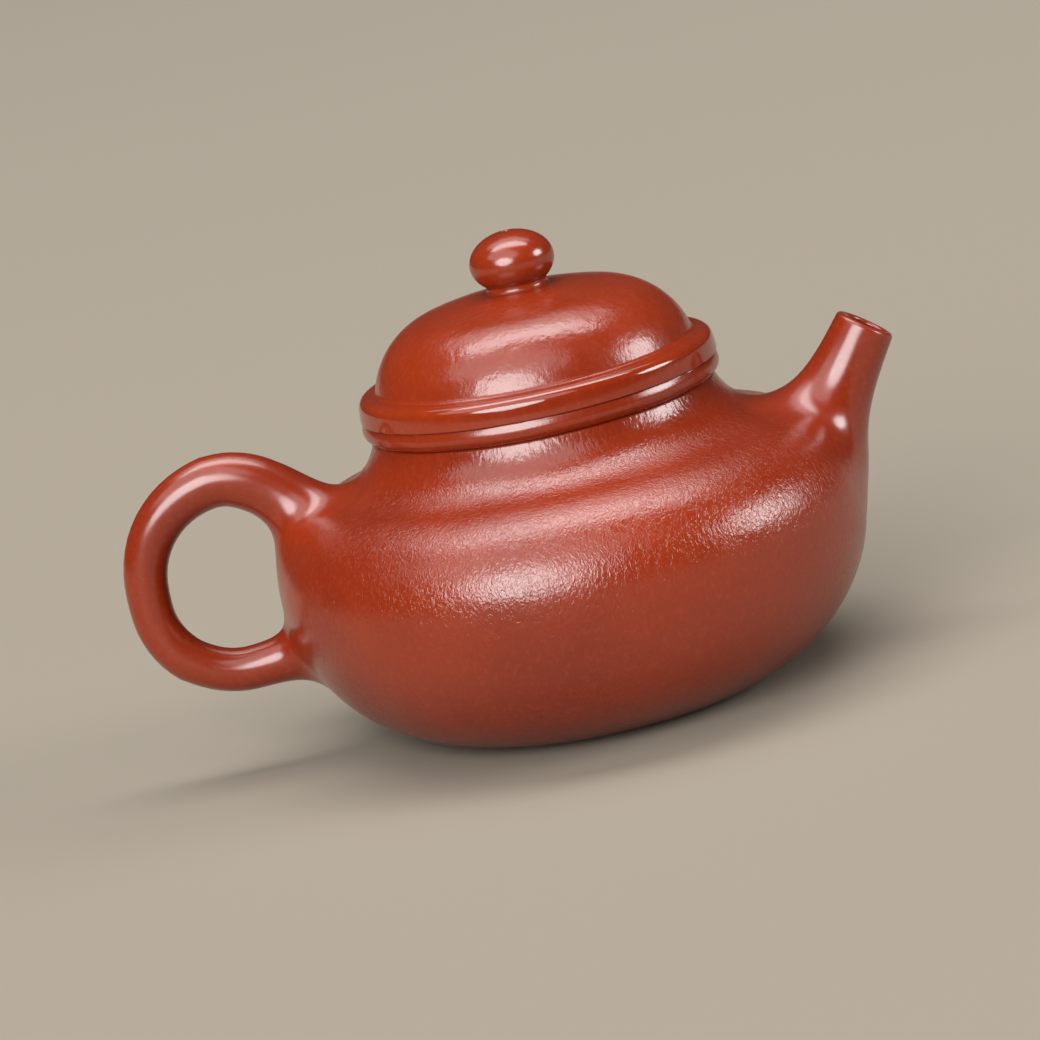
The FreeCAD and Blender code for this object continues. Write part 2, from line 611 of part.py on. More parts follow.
def handle_path(body):
    """The centre line: a straight foot, the lower bend, a short straight run and the upper bend."""
    path = sketch_on(body, "handle_path", "XZ_Plane")
    root = Vector(value("handle_root_x"), value("handle_bottom_z"), 0)
    bottom = Vector(value("handle_bend_x"), value("handle_bottom_z"), 0)
    side_low = Vector(value("handle_far_x"), value("handle_bend_z"), 0)
    side_high = Vector(value("handle_far_x"), value("handle_z"), 0)
    foot = path.addGeometry(Part.LineSegment(root, bottom))
    lower = draw_bend(path, "handle_bend_x", "handle_bend_z", "handle_bend", 180, 270)
    run = path.addGeometry(Part.LineSegment(side_low, side_high))
    upper = draw_bend(path, "handle_x", "handle_z", "handle_ring", value("handle_enter"), 180)
    path.addConstraint(Sketcher.Constraint("Coincident", foot, 2, lower, 2))
    path.addConstraint(Sketcher.Constraint("Coincident", lower, 1, run, 1))
    path.addConstraint(Sketcher.Constraint("Coincident", run, 2, upper, 2))
    place_point(path, foot, 1, "handle_root_x", "handle_bottom_z")
    place_point(path, foot, 2, "handle_bend_x", "handle_bottom_z")
    place_point(path, run, 1, "handle_far_x", "handle_bend_z")
    place_point(path, run, 2, "handle_far_x", "handle_z")
    place_point(path, upper, 1, "handle_enter_x", "handle_enter_z")
    return path


def make_handle():
    body = new_body("handle")
    path = handle_path(body)
    sections = []
    for name, radius, across, up, angle in HANDLE_SECTIONS:
        section = tilted_sketch(body, "handle_at_" + name, cell(across), cell(up), angle)
        draw_circle(section, radius)
        sections.append(section)
    roll = body.newObject("PartDesign::AdditivePipe", "handle_roll")
    roll.Profile = sections[0]
    roll.Spine = (path, ["Edge1", "Edge2", "Edge3", "Edge4"])
    roll.Sections = [(section, [""]) for section in sections[1:]]
    roll.Transformation = "Multisection"
    roll.Mode = "Binormal"
    roll.Binormal = Vector(0, 1, 0)
    doc.recompute()
    cut_away(body, "handle_trim", POT_ENVELOPE)
    return body


PIECES = [
    make_base_disc(),
    make_lower_wall(),
    make_upper_wall(),
    make_shoulder_disc(),
    make_neck_ring(),
    make_mouth_rim(),
    make_spout(),
    make_spout_strainer(),
    make_handle(),
    make_lid_flange(),
    make_lid_collar(),
    make_lid_dome(),
    make_lid_knob(),
]
doc.recompute()

# Nothing is written unless every object and every piece is sound
for item in doc.Objects:
    if "Invalid" in item.State or "Error" in item.State:
        raise RuntimeError(f"{item.Label} failed: {item.State}")
for piece in PIECES:
    if piece.Shape.isNull() or not piece.Shape.isValid() or len(piece.Shape.Solids) != 1:
        raise RuntimeError(piece.Label + " is not one sound solid")

os.makedirs("parts", exist_ok=True)
for piece in PIECES:
    piece.Shape.exportStep(f"parts/{piece.Label}.step")
    box = piece.Shape.BoundBox
    print(f"{piece.Label:15s} {piece.Shape.Volume:9.1f} mm3  x {box.XMin:7.2f} {box.XMax:7.2f}"
          f"  y {box.YMin:7.2f} {box.YMax:7.2f}  z {box.ZMin:7.2f} {box.ZMax:7.2f}")
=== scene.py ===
# %% [markdown]
# # A red clay teapot
# The pot is small and hand built: a squat drum with a ring handle, a short straight spout and a domed lid.
# Its solids come from the frame, in metres, with the foot on the floor at the origin and the spout at +X.
# This lesson dresses them: turned shells, rolled clay that runs softly into the belly, and a fired clay skin.

# %% The frame
import bpy
import math
from mathutils import Matrix, Vector
from mathutils.geometry import interpolate_bezier


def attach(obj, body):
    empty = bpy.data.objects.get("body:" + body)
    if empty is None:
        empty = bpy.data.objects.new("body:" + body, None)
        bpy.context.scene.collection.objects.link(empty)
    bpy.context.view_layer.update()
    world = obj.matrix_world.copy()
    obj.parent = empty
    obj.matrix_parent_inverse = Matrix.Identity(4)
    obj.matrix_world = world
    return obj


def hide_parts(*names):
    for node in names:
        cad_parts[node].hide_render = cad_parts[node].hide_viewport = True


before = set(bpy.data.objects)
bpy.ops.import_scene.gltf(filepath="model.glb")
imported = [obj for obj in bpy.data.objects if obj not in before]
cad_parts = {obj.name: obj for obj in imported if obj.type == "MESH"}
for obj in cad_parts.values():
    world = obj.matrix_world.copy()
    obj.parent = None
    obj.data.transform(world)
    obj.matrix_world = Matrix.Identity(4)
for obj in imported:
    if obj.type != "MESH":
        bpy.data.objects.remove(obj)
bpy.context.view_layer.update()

MM = 0.001

# %% [markdown]
# ## Camera
# A long lens keeps the outline of a small pot calm. The pot leans in the picture, so the camera is rolled
# about its own line of sight and the pot stays upright in its frame.

# %% Camera
VIEW_RISE = math.radians(11.75)
VIEW_DISTANCE = 0.700
VIEW_CENTRE = Vector((0, 0, 0.035))
VIEW_AIM = Vector((-0.00714, -0.00107, 0.02986))
PICTURE_LEAN = math.radians(12.36)
LENS, SENSOR = 159.1, 36

bpy.ops.object.select_all(action='DESELECT')
behind = Vector((0, -math.cos(VIEW_RISE), math.sin(VIEW_RISE)))
bpy.ops.object.camera_add(location=VIEW_CENTRE + VIEW_DISTANCE * behind)
camera = bpy.context.object
line_of_sight = VIEW_AIM - camera.location
upright = line_of_sight.to_track_quat('-Z', 'Y').to_matrix()
camera.rotation_euler = (upright @ Matrix.Rotation(-PICTURE_LEAN, 3, 'Z')).to_euler()
camera.data.lens = LENS
camera.data.sensor_width = SENSOR
bpy.context.scene.camera = camera
print("camera stands", round(camera.location.length, 3), "m from the foot")

# %% [markdown]
# ## Light and floor
# Burnished clay mirrors its lamps, so their place and size matter more than their power. A large soft lamp
# stands to the left of the camera, a small one to the right, and a long strip hangs overhead, with a fainter
# one behind it. A broad and faint one above the left lamp fills the gap, as a pale wall does. Each is given
# as the pot sees it: its direction, how many degrees it spans, and how bright its face is.

# %% Lamps
LAMP_DISTANCE = 9.0


def hang_lamp(name, azimuth, rise, across, tall, brightness):
    """A soft oval lamp aimed at the pot. Azimuth 0 is the camera's side, and plus is to the right."""
    aside = math.radians(azimuth)
    up = math.radians(rise)
    way = Vector((math.sin(aside) * math.cos(up), -math.cos(aside) * math.cos(up), math.sin(up)))
    bpy.ops.object.light_add(type='AREA', location=VIEW_CENTRE + LAMP_DISTANCE * way)
    lamp = bpy.context.object
    lamp.name = name
    lamp.rotation_euler = (-way).to_track_quat('-Z', 'Y').to_euler()
    lamp.data.shape = 'ELLIPSE'
    lamp.data.size = 2 * LAMP_DISTANCE * math.tan(math.radians(across) / 2)
    lamp.data.size_y = 2 * LAMP_DISTANCE * math.tan(math.radians(tall) / 2)
    face = lamp.data.size * lamp.data.size_y * math.pi / 4
    lamp.data.energy = brightness * math.pi * face
    print(name, "has", round(lamp.data.energy), "W")


hang_lamp("left_lamp", azimuth=-23, rise=24, across=45, tall=35, brightness=9.2)
hang_lamp("right_lamp", azimuth=82, rise=20, across=27, tall=21, brightness=10.5)
hang_lamp("top_lamp", azimuth=180, rise=85, across=64, tall=22, brightness=7.0)
hang_lamp("back_lamp", azimuth=180, rise=66, across=64, tall=20, brightness=1.7)
hang_lamp("wall_lamp", azimuth=-30, rise=55, across=75, tall=42, brightness=1.7)

# %% [markdown]
# The room itself adds a little even light, so that no shade is black. The floor is plain and matt: the tone
# of the background is its own colour, and comes from no extra light on the pot.

# %% The room's own light
ROOM_LIGHT, ROOM_COLOUR = 0.045, (1.0, 0.97, 0.93, 1)
world = bpy.data.worlds.new("room")
bpy.context.scene.world = world
world.use_nodes = True
background = world.node_tree.nodes["Background"]
background.inputs["Color"].default_value = ROOM_COLOUR
background.inputs["Strength"].default_value = ROOM_LIGHT
bpy.context.scene.view_settings.view_transform = 'Standard'
print("room light", ROOM_LIGHT)

# %% Floor
FLOOR_SIZE = 10
FLOOR_COLOUR = (0.262, 0.228, 0.182, 1)
FLOOR_ROUGHNESS, FLOOR_GLOSS = 0.85, 0.2
bpy.ops.mesh.primitive_plane_add(size=FLOOR_SIZE)
floor = bpy.context.object
floor.name = "floor"
paper = bpy.data.materials.new("pale_floor")
paper.use_nodes = True
paper_shader = paper.node_tree.nodes["Principled BSDF"]
paper_shader.inputs["Base Color"].default_value = FLOOR_COLOUR
paper_shader.inputs["Roughness"].default_value = FLOOR_ROUGHNESS
paper_shader.inputs["Specular IOR Level"].default_value = FLOOR_GLOSS
floor.data.materials.append(paper)
print("floor", FLOOR_SIZE, "m wide")

# %% [markdown]
# ## Clay
# Fired red clay is even in colour but never flat: broad patches from the kiln, fine mottling, and grains
# of darker iron sand. The same colours serve every finish, so they are one node group.

# %% Node helpers


def new_group(name, outputs, inputs=()):
    """An empty shader node group with named sockets. Returns its tree and its outlet."""
    tree = bpy.data.node_groups.new(name, 'ShaderNodeTree')
    for label, kind, value in inputs:
        socket = tree.interface.new_socket(name=label, in_out='INPUT', socket_type=kind)
        socket.default_value = value
    for label, kind in outputs:
        tree.interface.new_socket(name=label, in_out='OUTPUT', socket_type=kind)
    return tree, tree.nodes.new('NodeGroupOutput')


def add(tree, kind, **settings):
    """A node of the tree, with some of its settings or unlinked inputs filled in."""
    node = tree.nodes.new(kind)
    for label, value in settings.items():
        socket = label.replace("_", " ").title()
        if hasattr(node, label):
            setattr(node, label, value)
        else:
            node.inputs[socket].default_value = value
    return node


def remap(tree, source, low, high, to_low, to_high):
    """A smooth change of range, held at both ends."""
    node = add(tree, 'ShaderNodeMapRange', interpolation_type='SMOOTHSTEP')
    tree.links.new(source, node.inputs["Value"])
    for label, value in (("From Min", low), ("From Max", high), ("To Min", to_low), ("To Max", to_high)):
        node.inputs[label].default_value = value
    return node.outputs["Result"]


def mix_colours(tree, share, first, second):
    """Two colours, mixed by a share. Each colour is a socket or a plain value."""
    node = add(tree, 'ShaderNodeMix', data_type='RGBA')
    tree.links.new(share, node.inputs["Factor"])
    for socket, colour in ((node.inputs[6], first), (node.inputs[7], second)):
        if isinstance(colour, bpy.types.NodeSocket):
            tree.links.new(colour, socket)
        else:
            socket.default_value = colour
    return node.outputs[2]


def calculate(tree, operation, first, second):
    """One sum on two values. Each is a socket or a plain number."""
    node = add(tree, 'ShaderNodeMath', operation=operation)
    for socket, value in zip(node.inputs, (first, second)):
        if isinstance(value, bpy.types.NodeSocket):
            tree.links.new(value, socket)
        else:
            socket.default_value = value
    return node.outputs[0]


def noise(tree, place, cell_mm, detail, roughness=0.5, distortion=0.0):
    """Noise whose patches are about so many millimetres wide."""
    node = add(tree, 'ShaderNodeTexNoise', detail=detail, roughness=roughness, distortion=distortion)
    node.inputs["Scale"].default_value = 1 / (cell_mm * MM)
    tree.links.new(place, node.inputs["Vector"])
    return node.outputs["Fac"]


print("node helpers ready")

# %% Clay colour
CLAY_WARM = (0.234, 0.0217, 0.0034, 1)
CLAY_DEEP = (0.192, 0.0162, 0.0027, 1)
CLAY_IRON = (0.095, 0.0110, 0.0035, 1)
CLAY_PALE = (0.295, 0.0400, 0.0095, 1)
PATCH_SIZE, MOTTLE_SIZE, SAND_SIZE = 28, 0.9, 0.55
MOTTLE_SHARE, SAND_SHARE = 0.35, 0.5

colour_tree, colour_out = new_group("clay_colour", [("Colour", 'NodeSocketColor')])
place = add(colour_tree, 'ShaderNodeTexCoord').outputs["Object"]
patches = noise(colour_tree, place, PATCH_SIZE, detail=3)
patches = remap(colour_tree, patches, 0.35, 0.65, 0, 1)
body_colour = mix_colours(colour_tree, patches, CLAY_DEEP, CLAY_WARM)
mottle = noise(colour_tree, place, MOTTLE_SIZE, detail=4, roughness=0.6)
mottle = remap(colour_tree, mottle, 0.45, 0.75, 0, MOTTLE_SHARE)
body_colour = mix_colours(colour_tree, mottle, body_colour, CLAY_PALE)
sand = noise(colour_tree, place, SAND_SIZE, detail=2)
sand = remap(colour_tree, sand, 0.70, 0.78, 0, SAND_SHARE)
body_colour = mix_colours(colour_tree, sand, body_colour, CLAY_IRON)
colour_tree.links.new(body_colour, colour_out.inputs["Colour"])
print("clay colour has", len(colour_tree.nodes), "nodes")

# %% [markdown]
# ## Pear skin
# When a damp wall is beaten and then burnished, the coarse grains stay and the fine clay shrinks around
# them. The result is a skin of tiny wrinkles, which shows only where a lamp glances off it. Two sizes of
# noise pull it about: long upright creases, and the grain between them. Above the shoulder a tool has
# combed the clay upright, so there the skin gives way to fine upright strokes. Shallow dimples from the
# paddle lie under it all, and show most on the dome. Sizes are in millimetres, and heights above the floor,
# which the masks read from the surface itself, in metres.

# %% Pear skin
COMBED_FROM, COMBED_TO = 0.0405, 0.0440
DOME_FROM, DOME_TO = 0.0525, 0.0545
CREASE_SIZE, CREASE_STRETCH, CREASE_PULL = 0.70, 0.6, 0.6
RIDGE_WIDTH, RIDGE_WEIGHT = 0.13, 0.45
GRAIN_SIZE = 0.35
STROKE_SIZE, STROKE_STRETCH, STROKE_WEIGHT = 0.55, 0.24, 1.6
STROKES_ON_DOME = 0.35
DIMPLE_SIZE, WALL_DIMPLES, DOME_DIMPLES = 2.0, 1.2, 3.2


def stretch_upright(tree, place, share):
    """The place with its height pressed together, so that a pattern on it stands taller."""
    node = add(tree, 'ShaderNodeMapping')
    node.inputs["Scale"].default_value = (1, 1, share)
    tree.links.new(place, node.inputs["Vector"])
    return node.outputs["Vector"]


skin_tree, skin_out = new_group("pear_skin", [("Height", 'NodeSocketFloat')])
place = add(skin_tree, 'ShaderNodeTexCoord').outputs["Object"]
apart = add(skin_tree, 'ShaderNodeSeparateXYZ')
skin_tree.links.new(place, apart.inputs["Vector"])
above_floor = apart.outputs["Z"]
creased_place = stretch_upright(skin_tree, place, CREASE_STRETCH)
creases = noise(skin_tree, creased_place, CREASE_SIZE, detail=3, distortion=CREASE_PULL)
ridges = calculate(skin_tree, 'ABSOLUTE', calculate(skin_tree, 'SUBTRACT', creases, 0.5), 0)
ridges = remap(skin_tree, ridges, 0, RIDGE_WIDTH, 1, 0)
ridges = calculate(skin_tree, 'MULTIPLY', ridges, RIDGE_WEIGHT)
grain = noise(skin_tree, creased_place, GRAIN_SIZE, detail=2)
wrinkles = calculate(skin_tree, 'ADD', ridges, grain)
strokes = noise(skin_tree, stretch_upright(skin_tree, place, STROKE_STRETCH), STROKE_SIZE, detail=2)
strokes = calculate(skin_tree, 'MULTIPLY', strokes, STROKE_WEIGHT)
combed = remap(skin_tree, above_floor, COMBED_FROM, COMBED_TO, 0, 1)
wrinkled = calculate(skin_tree, 'SUBTRACT', 1, combed)
fading = remap(skin_tree, above_floor, DOME_FROM, DOME_TO, 1, STROKES_ON_DOME)
combed = calculate(skin_tree, 'MULTIPLY', combed, fading)
height = calculate(
    skin_tree, 'ADD',
    calculate(skin_tree, 'MULTIPLY', wrinkles, wrinkled),
    calculate(skin_tree, 'MULTIPLY', strokes, combed))
dimples = noise(skin_tree, place, DIMPLE_SIZE, detail=3, roughness=0.6)
dimple_weight = remap(skin_tree, above_floor, DOME_FROM, DOME_TO, WALL_DIMPLES, DOME_DIMPLES)
dimples = calculate(skin_tree, 'MULTIPLY', dimples, dimple_weight)
height = calculate(skin_tree, 'ADD', height, dimples)
skin_tree.links.new(height, skin_out.inputs["Height"])
print("pear skin has", len(skin_tree.nodes), "nodes")

# %% [markdown]
# Spout and handle are smoothed with a wet finger, together with the clay around their joints, and stay a
# little dull there. So the skin fades out near the middle of each, and pot, spout and handle share it without
# a border.

# %% Smooth places
SMOOTH_FADE = 1.4
smooth_tree, smooth_out = new_group(
    "away_from_smooth_place",
    [("Mask", 'NodeSocketFloat')],
    [("Middle", 'NodeSocketVector', (0, 0, 0)), ("Smooth Within", 'NodeSocketFloat', 0.01)],
)
smooth_in = add(smooth_tree, 'NodeGroupInput')
place = add(smooth_tree, 'ShaderNodeTexCoord').outputs["Object"]
gap = add(smooth_tree, 'ShaderNodeVectorMath', operation='DISTANCE')
smooth_tree.links.new(place, gap.inputs[0])
smooth_tree.links.new(smooth_in.outputs["Middle"], gap.inputs[1])
gaps = calculate(smooth_tree, 'DIVIDE', gap.outputs["Value"], smooth_in.outputs["Smooth Within"])
mask = remap(smooth_tree, gaps, 1, SMOOTH_FADE, 0, 1)
smooth_tree.links.new(mask, smooth_out.inputs["Mask"])
print("smooth mask has", len(smooth_tree.nodes), "nodes")

# %% [markdown]
# ## Five finishes
# The walls keep their pear skin, which spout and handle share, and the lid's dome has a duller one. The lid's
# band is burnished to a clean gloss, rim and knob are worn soft by hands, and the places that no tool reaches
# stay matt. Each finish is its own material around the same clay colour.

# %% Finishes
SPOUT_MIDDLE = (0.0445, 0, 0.0395)
HANDLE_MIDDLE = (-0.0530, 0, 0.0300)
SMOOTH_PLACES = ((SPOUT_MIDDLE, 0.0130), (HANDLE_MIDDLE, 0.0195))
SMOOTH_DULL = 0.035
SHEEN_SIZE = 7
CLAY_IOR = 1.65


def clay(name, rough_low, rough_high, skin_depth_mm, smooth_places=()):
    """A fired clay finish: its range of roughness, the depth of its skin, and the places that lose it."""
    material = bpy.data.materials.new(name)
    material.use_nodes = True
    tree = material.node_tree
    shader = tree.nodes["Principled BSDF"]
    shader.inputs["IOR"].default_value = CLAY_IOR
    colour = add(tree, 'ShaderNodeGroup', node_tree=colour_tree)
    tree.links.new(colour.outputs["Colour"], shader.inputs["Base Color"])
    place = add(tree, 'ShaderNodeTexCoord').outputs["Object"]
    sheen = noise(tree, place, SHEEN_SIZE, detail=4)
    sheen = remap(tree, sheen, 0.3, 0.7, rough_low, rough_high)
    skin = add(tree, 'ShaderNodeGroup', node_tree=skin_tree)
    height = skin.outputs["Height"]
    for middle, reach in smooth_places:
        away = add(tree, 'ShaderNodeGroup', node_tree=smooth_tree)
        away.inputs["Middle"].default_value = middle
        away.inputs["Smooth Within"].default_value = reach
        height = calculate(tree, 'MULTIPLY', height, away.outputs["Mask"])
        near = calculate(tree, 'SUBTRACT', 1, away.outputs["Mask"])
        sheen = calculate(tree, 'ADD', sheen, calculate(tree, 'MULTIPLY', near, SMOOTH_DULL))
    tree.links.new(sheen, shader.inputs["Roughness"])
    bump = add(tree, 'ShaderNodeBump')
    bump.inputs["Strength"].default_value = 1
    bump.inputs["Distance"].default_value = skin_depth_mm * MM
    tree.links.new(height, bump.inputs["Height"])
    tree.links.new(bump.outputs["Normal"], shader.inputs["Normal"])
    print(name, "has", len(tree.nodes), "nodes")
    return material


pear_skin_clay = clay("pear_skin_clay", 0.17, 0.23, 0.048, SMOOTH_PLACES)
lid_skin_clay = clay("lid_skin_clay", 0.20, 0.265, 0.036)
burnished_clay = clay("burnished_clay", 0.09, 0.13, 0.003)
handled_clay = clay("handled_clay", 0.17, 0.23, 0.010)
plain_clay = clay("plain_clay", 0.50, 0.65, 0.050)

# %% [markdown]
# ## Turning
# Wall, rim and lid are bodies of revolution. By hand they would be drawn as a half outline and spun.
# A pen that knows lines and arcs keeps such an outline to its true corners, in millimetres.

# %% The pen
TURN_STEPS = 180
ARC_STEP = 0.9
ARC_STEPS = 10
MERGE_WITHIN = 0.002


def activate(piece):
    """Only this piece is selected, and it is the one that operators act on."""
    bpy.ops.object.select_all(action='DESELECT')
    piece.select_set(True)
    bpy.context.view_layer.objects.active = piece


class Outline:
    """The half outline of a turned piece: radius across and height up, in millimetres."""

    def __init__(self, name, radius, height):
        bpy.ops.object.select_all(action='DESELECT')
        bpy.ops.mesh.primitive_plane_add(size=2 * MM, location=(radius * MM, 0, height * MM))
        self.piece = bpy.context.object
        self.piece.name = name
        self.piece.data.name = name
        bpy.ops.object.transform_apply(location=True, rotation=False, scale=False)
        bpy.ops.object.mode_set(mode='EDIT')
        bpy.ops.mesh.select_all(action='SELECT')
        bpy.ops.mesh.merge(type='CENTER')
        self.at = Vector((radius, height))

    def line(self, radius, height):
        """A straight stroke to a radius and a height."""
        step = (Vector((radius, height)) - self.at) * MM
        bpy.ops.mesh.extrude_region_move(TRANSFORM_OT_translate={"value": (step.x, 0, step.y)})
        self.at = Vector((radius, height))

    def arc(self, radius, height, centre):
        """A round stroke about a centre, the short way."""
        hub = Vector(centre)
        start = self.at - hub
        end = Vector((radius, height)) - hub
        turn = math.atan2(start.x * end.y - start.y * end.x, start.dot(end))
        steps = max(ARC_STEPS, round(abs(turn) * start.length / ARC_STEP))
        bpy.ops.mesh.spin(steps=steps, angle=turn, center=(hub.x * MM, 0, hub.y * MM), axis=(0, 1, 0))
        self.at = Vector((radius, height))

    def widen(self, share):
        """All that is drawn so far is stretched across, and the pen goes back to its end."""
        bpy.ops.mesh.select_all(action='SELECT')
        bpy.ops.transform.resize(value=(share, 1, 1), center_override=(0, 0, 0))
        bpy.ops.mesh.select_all(action='DESELECT')
        bpy.ops.object.mode_set(mode='OBJECT')
        self.at.x *= share
        end = Vector((self.at.x * MM, 0, self.at.y * MM))
        nearest = min(self.piece.data.vertices, key=lambda vertex: (vertex.co - end).length)
        nearest.select = True
        bpy.ops.object.mode_set(mode='EDIT')

    def turn(self):
        """The outline spun about the pot's axis into a closed shell."""
        bpy.ops.mesh.select_all(action='SELECT')
        bpy.ops.mesh.spin(steps=TURN_STEPS, angle=math.tau, center=(0, 0, 0), axis=(0, 0, 1))
        bpy.ops.mesh.select_all(action='SELECT')
        bpy.ops.mesh.remove_doubles(threshold=MERGE_WITHIN * MM)
        bpy.ops.mesh.normals_make_consistent(inside=False)
        bpy.ops.object.mode_set(mode='OBJECT')
        return self.piece


print("turning in", TURN_STEPS, "steps")

# %% [markdown]
# A turned piece still needs the strokes that finish it: its sharp corners are sponged round, its wall is left
# a little uneven by the paddle, and it takes its clay. The inside stays matt.

# %% Finishing strokes
SHARP_ANGLE = math.radians(32)


def round_edges(piece, width_mm, segments=3):
    """Every sharp corner of a piece gets a small round, as a damp sponge leaves it."""
    activate(piece)
    bevel = piece.modifiers.new("round_edges", 'BEVEL')
    bevel.limit_method = 'ANGLE'
    bevel.angle_limit = SHARP_ANGLE
    bevel.width = width_mm * MM
    bevel.segments = segments
    bpy.ops.object.modifier_apply(modifier=bevel.name)


def beat(piece, size_mm, depth_mm):
    """Slow unevenness from beating by hand: soft swells of one size, a fraction of a millimetre deep."""
    activate(piece)
    swells = bpy.data.textures.new(piece.name + "_swells", 'CLOUDS')
    swells.noise_scale = size_mm * MM
    swells.noise_depth = 1
    push = piece.modifiers.new("beating", 'DISPLACE')
    push.texture = swells
    push.texture_coords = 'LOCAL'
    push.strength = depth_mm * MM
    push.mid_level = 0.5
    bpy.ops.object.modifier_apply(modifier=push.name)


def finish(piece, material, slot, body, *nodes):
    """Smooth shading, a finish, and the frame's nodes that the piece stands for."""
    activate(piece)
    bpy.ops.object.shade_smooth()
    even = piece.modifiers.new("even_light", 'WEIGHTED_NORMAL')
    bpy.ops.object.modifier_apply(modifier=even.name)
    piece.data.materials.clear()
    piece.data.materials.append(material)
    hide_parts(*nodes)
    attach(piece, body)
    print(piece.name, "has", len(piece.data.polygons), "faces and stands for", ", ".join(nodes))


def leave_inside_matt(piece, middle_height):
    """No tool burnishes the inside: faces that look in at a middle on the axis get the matt clay."""
    piece.data.materials.append(plain_clay)
    middle = Vector((0, 0, middle_height * MM))
    inside = [face for face in piece.data.polygons if face.normal.dot(face.center - middle) < 0]
    for face in inside:
        face.material_index = 1
    print(piece.name, "has", len(inside), "matt faces inside")


print("corners over", round(math.degrees(SHARP_ANGLE)), "degrees are rounded")

# %% [markdown]
# ## The pot's body
# Base, two wall strips, shoulder and neck are luted and beaten until no joint shows, so one shell stands
# for all five. Three arcs make its outside: belly, shoulder, and the hollow neck that runs on from it.
# The inside follows at the thickness of the wall.

# %% Sizes of the body
BELLY = 45.3
BELLY_HEIGHT = 25.3
FOOT = 23.6
FOOT_LAND = 3.2
BASE_PRESS = 1.4
WALL = 2.6
SHOULDER_ROUND = 14.0
THROAT = 25.9
NECK_TOP = 46.7
SEAM = 49.7

foot_inset = BELLY - FOOT
belly_round = (foot_inset ** 2 + BELLY_HEIGHT ** 2) / (2 * foot_inset)
belly_hub = Vector((BELLY - belly_round, BELLY_HEIGHT))
shoulder_hub = Vector((BELLY - SHOULDER_ROUND, BELLY_HEIGHT))
throat_in = THROAT - shoulder_hub.x
throat_up = SEAM - BELLY_HEIGHT
neck_round = (throat_in ** 2 + throat_up ** 2 - SHOULDER_ROUND ** 2) / (2 * (SHOULDER_ROUND - throat_in))
neck_hub = Vector((THROAT + neck_round, SEAM))
turn_way = (neck_hub - shoulder_hub).normalized()
print("belly round", round(belly_round, 2), "neck round", round(neck_round, 2))


def on_neck(round_mm, height):
    """Where the neck's arc passes a height."""
    return neck_hub.x - math.sqrt(round_mm ** 2 - (SEAM - height) ** 2), height


# %% The body, outside and inside
BODY_EDGE = 0.5
BEATEN_SIZE, BEATEN_DEPTH = 24, 0.25


def draw_outside(pen):
    """The outside of the pot, from the edge of its foot to the top of its neck."""
    pen.arc(BELLY, BELLY_HEIGHT, belly_hub)
    pen.arc(*(shoulder_hub + SHOULDER_ROUND * turn_way), shoulder_hub)
    pen.arc(*on_neck(neck_round, NECK_TOP), neck_hub)


pen = Outline("pot_body", 0, BASE_PRESS)
press_land = FOOT - FOOT_LAND
press_round = (press_land ** 2 + BASE_PRESS ** 2) / (2 * BASE_PRESS)
pen.arc(press_land, 0, (0, BASE_PRESS - press_round))
pen.line(FOOT, 0)
draw_outside(pen)
pen.line(*on_neck(neck_round + WALL, NECK_TOP))
pen.arc(*(shoulder_hub + (SHOULDER_ROUND - WALL) * turn_way), neck_hub)
pen.arc(BELLY - WALL, BELLY_HEIGHT, shoulder_hub)
inner_foot = belly_hub + (Vector((FOOT, 0)) - belly_hub) * (belly_round - WALL) / belly_round
pen.arc(*inner_foot, belly_hub)
inside_round = (inner_foot.x ** 2 + BASE_PRESS ** 2) / (2 * BASE_PRESS)
pen.arc(0, inner_foot.y + BASE_PRESS, (0, inner_foot.y + BASE_PRESS - inside_round))
pot_body = pen.turn()
round_edges(pot_body, BODY_EDGE)
beat(pot_body, BEATEN_SIZE, BEATEN_DEPTH)
print("pot_body", [round(size / MM, 2) for size in pot_body.dimensions], "mm")

# %% [markdown]
# The spout's hole goes through the shoulder before the spout is luted on. A cutter on the spout's own axis
# makes it, and the strainer from the frame sits in it.

# %% The hole behind the spout
SPOUT_RISE = math.radians(55)
SPOUT_LEAN = math.pi / 2 - SPOUT_RISE
SPOUT_SEAT = Vector((41.44, 0, 34.96))
SPOUT_WAY = Vector((math.cos(SPOUT_RISE), 0, math.sin(SPOUT_RISE)))
HOLE_RADIUS = 6.0
HOLE_DEPTH = 13.0
HOLE_SIDES = 64

bpy.ops.object.select_all(action='DESELECT')
bpy.ops.mesh.primitive_cylinder_add(
    vertices=HOLE_SIDES,
    radius=HOLE_RADIUS * MM,
    depth=HOLE_DEPTH * MM,
    location=(SPOUT_SEAT - SPOUT_WAY * HOLE_DEPTH / 4) * MM,
    rotation=(0, SPOUT_LEAN, 0),
)
cutter = bpy.context.object
activate(pot_body)
cut = pot_body.modifiers.new("spout_hole", 'BOOLEAN')
cut.operation = 'DIFFERENCE'
cut.object = cutter
bpy.ops.object.modifier_apply(modifier=cut.name)
activate(cutter)
bpy.ops.object.delete()
finish(pot_body, pear_skin_clay, "pear_skin_clay", "pot",
       "base_disc", "lower_wall", "upper_wall", "shoulder_disc", "neck_ring")
leave_inside_matt(pot_body, BELLY_HEIGHT)

# %% [markdown]
# ## Rim and lid
# Rim and flange have the same radius, and their rounded edges leave a fine dark line between them, which is
# how a lid that fits well looks when it is closed. The rim has a flattish face that looks up a little, and
# tucks in below it.

# %% Mouth rim
MOUTH = 23.2
BEAD = 27.6
RIM_FACE, RIM_FACE_TOP, RIM_FACE_LOW = 4.4, math.radians(27), math.radians(12)
RIM_TUCK = 1.65
RIM_EDGE = 0.25


